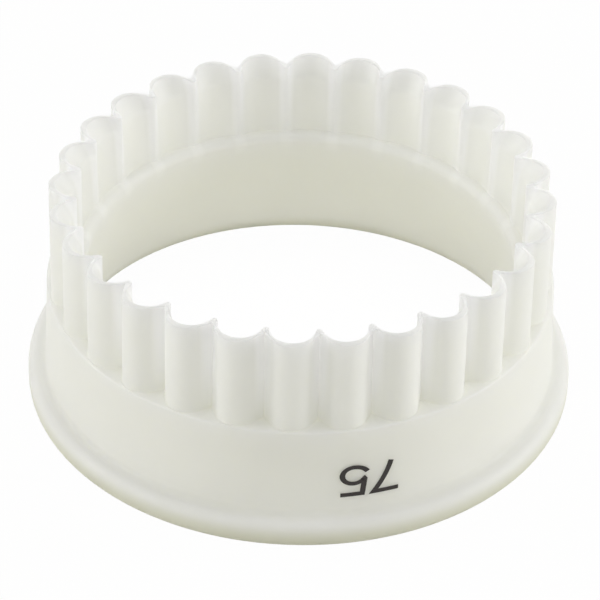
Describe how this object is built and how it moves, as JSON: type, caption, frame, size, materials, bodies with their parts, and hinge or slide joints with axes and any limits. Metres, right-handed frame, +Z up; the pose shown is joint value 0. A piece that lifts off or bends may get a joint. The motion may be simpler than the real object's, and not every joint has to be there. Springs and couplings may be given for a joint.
{
  "type": "biscuit cutter",
  "caption": "Round fluted biscuit cutter: an open ring with a thin scalloped cutting edge, a plain conical collar and a thick rounded rim to press on.",
  "frame": {"origin": "on the ring's axis, in the plane of the rim's flat seat", "axes": "+Z up along the ring's axis, from the rim to the cutting edge; +X through the crest of one flute"},
  "size_m": [0.0822, 0.0822, 0.0338],
  "materials": {
    "moulding": "white moulded plastic, satin, slightly translucent"
  },
  "bodies": {
    "root": {"rim": "moulding", "collar": "moulding", "fluted_skirt": "moulding"}
  },
  "joints": []
}
